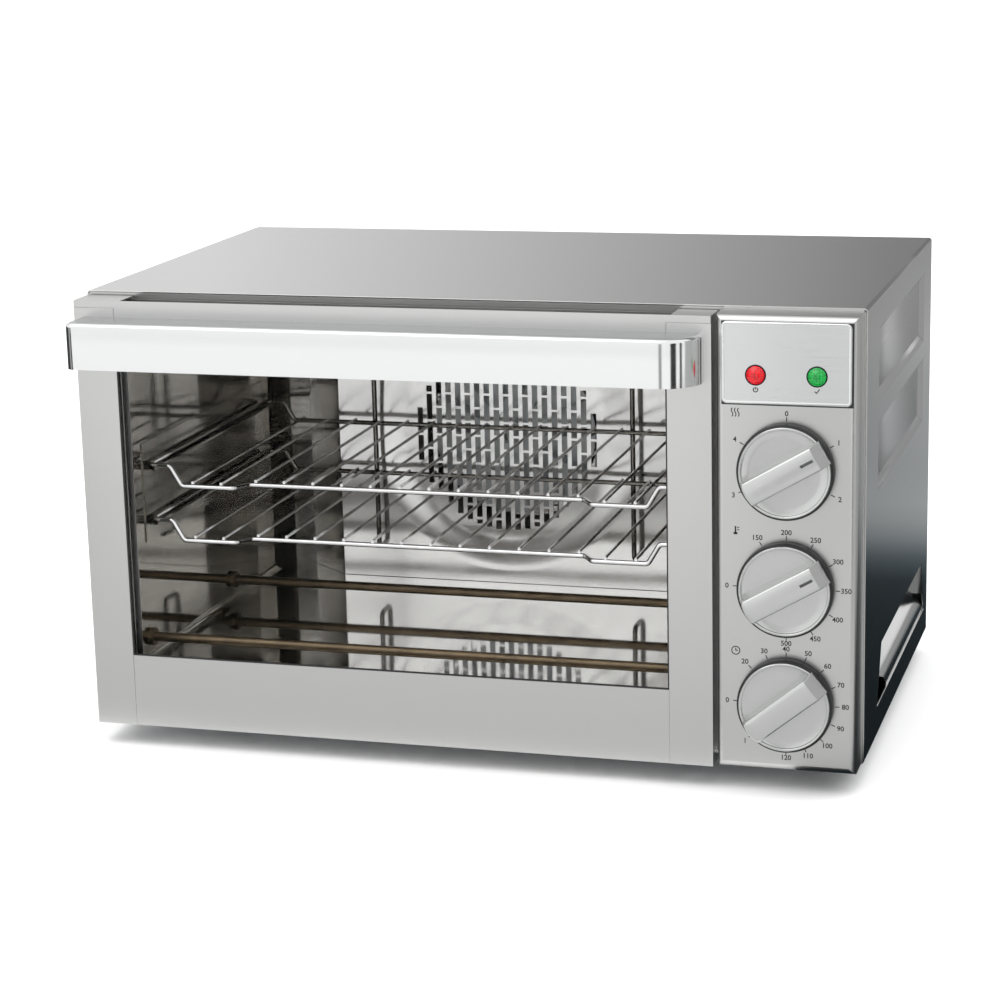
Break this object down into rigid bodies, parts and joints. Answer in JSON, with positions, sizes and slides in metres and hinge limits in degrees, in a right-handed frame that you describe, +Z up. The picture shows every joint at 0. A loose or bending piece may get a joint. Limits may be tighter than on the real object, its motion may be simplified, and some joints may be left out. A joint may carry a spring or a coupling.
{
  "type": "countertop convection oven",
  "caption": "Countertop convection oven with a drop-down glass door, a flat bar handle, sliding wire racks, a rear fan behind a slotted baffle and a column of dials.",
  "frame": {"origin": "on the worktop under the middle of the whole oven, with its handle and rear cover", "axes": "+Z up, +Y from the door to the back, +X to the right as seen from the front"},
  "size_m": [0.48, 0.363, 0.285],
  "materials": {
    "brushed_stainless": "satin, fine horizontal grain",
    "polished_stainless": "bright mirror polish",
    "bright_liner": "bright annealed sheet, mirror-like",
    "galvanised_sheet": "dull zinc sheet",
    "chrome_wire": "bright chrome plate",
    "heater_sheath": "bronze-brown oxidised sheath with pale ceramic bushes",
    "clear_glass": "clear toughened glass",
    "silver_plastic": "silver finish, chrome rim on the skirt",
    "switch_body": "black moulded body",
    "shaft_steel": "bright steel",
    "red_lens": "translucent red lens",
    "green_lens": "translucent green lens",
    "badge_silver": "satin silver plate, bare",
    "mineral_wool": "matted mineral wool",
    "black_rubber": "matte black",
    "fan_aluminium": "plain rolled sheet",
    "motor_iron": "dark lacquered laminations",
    "screw_steel": "zinc-plated screws"
  },
  "bodies": {
    "cabinet": {"outer_wrap": "brushed_stainless", "base_pan": "galvanised_sheet", "rear_panel": "galvanised_sheet", "motor_cover": "galvanised_sheet", "cord_gland": "black_rubber", "front_frame": "brushed_stainless", "cavity_liner": "bright_liner", "insulation_blanket": "mineral_wool", "insulation_rear": "mineral_wool", "fan_baffle": "bright_liner", "baffle_screws": "screw_steel", "rack_guide_left": "bright_liner", "rack_guide_right": "bright_liner", "rack_stop_left": "chrome_wire", "rack_stop_right": "chrome_wire", "fan_motor": "motor_iron", "motor_bracket": "galvanised_sheet", "control_fascia": "brushed_stainless", "badge_plate": "badge_silver", "power_lamp": "red_lens", "ready_lamp": "green_lens", "function_switch": "switch_body", "thermostat": "shaft_steel", "bake_timer": "switch_body", "hinge_bracket_left": "galvanised_sheet", "hinge_bracket_right": "galvanised_sheet", "foot_screws": "screw_steel", "panel_screws": "screw_steel", "lower_front_heater": "heater_sheath", "lower_rear_heater": "heater_sheath", "upper_front_heater": "heater_sheath", "upper_rear_heater": "heater_sheath", "foot_front_left": "black_rubber", "foot_front_right": "black_rubber", "foot_rear_left": "black_rubber", "foot_rear_right": "black_rubber"},
    "door": {"door_left_stile": "brushed_stainless", "door_right_stile": "brushed_stainless", "door_top_rail": "brushed_stainless", "door_bottom_rail": "brushed_stainless", "door_outer_glass": "clear_glass", "door_inner_glass": "clear_glass", "door_inner_frame": "brushed_stainless", "door_gasket": "black_rubber", "door_handle": "polished_stainless", "handle_screws": "screw_steel", "hinge_arm_left": "galvanised_sheet", "hinge_arm_right": "galvanised_sheet", "hinge_pins": "shaft_steel"},
    "function_dial": {"function_knob": "silver_plastic", "function_shaft": "shaft_steel"},
    "temperature_dial": {"temperature_knob": "silver_plastic", "temperature_shaft": "shaft_steel"},
    "timer_dial": {"timer_knob": "silver_plastic", "timer_shaft": "shaft_steel"},
    "fan": {"fan_wheel": "fan_aluminium", "fan_shaft": "shaft_steel", "fan_nut": "screw_steel"},
    "upper_shelf": {"upper_rack": "chrome_wire"},
    "lower_shelf": {"lower_rack": "chrome_wire"}
  },
  "joints": [
    {"name": "door_hinge", "type": "hinge", "parent": "cabinet", "child": "door", "pos_m": [0, -0.1435, 0.022], "axis": [1, 0, 0], "range_deg": [0, 85], "stiffness_Nm_per_rad": 0.5, "springref_deg": -28.65},
    {"name": "upper_rack_slide", "type": "slide", "parent": "cabinet", "child": "upper_shelf", "axis": [0, -1, 0], "range_m": [0, 0.11]},
    {"name": "lower_rack_slide", "type": "slide", "parent": "cabinet", "child": "lower_shelf", "axis": [0, -1, 0], "range_m": [0, 0.11]},
    {"name": "function_dial_turn", "type": "hinge", "parent": "cabinet", "child": "function_dial", "pos_m": [0.19775, -0.156, 0.1945], "axis": [0, 1, 0], "range_deg": [-60, 240]},
    {"name": "temperature_dial_turn", "type": "hinge", "parent": "cabinet", "child": "temperature_dial", "pos_m": [0.19775, -0.156, 0.1251], "axis": [0, 1, 0], "range_deg": [-150, 120]},
    {"name": "timer_dial_turn", "type": "hinge", "parent": "cabinet", "child": "timer_dial", "pos_m": [0.19775, -0.156, 0.0557], "axis": [0, 1, 0], "range_deg": [-186, 129]},
    {"name": "fan_spin", "type": "hinge", "parent": "cabinet", "child": "fan", "pos_m": [-0.04225, 0.1165, 0.15], "axis": [0, 1, 0], "continuous": true}
  ],
  "couplings": [
    {"joint": "upper_rack_slide", "follows": "door_hinge", "m_per_rad": 0.074},
    {"joint": "lower_rack_slide", "follows": "door_hinge", "m_per_rad": 0.074}
  ]
}
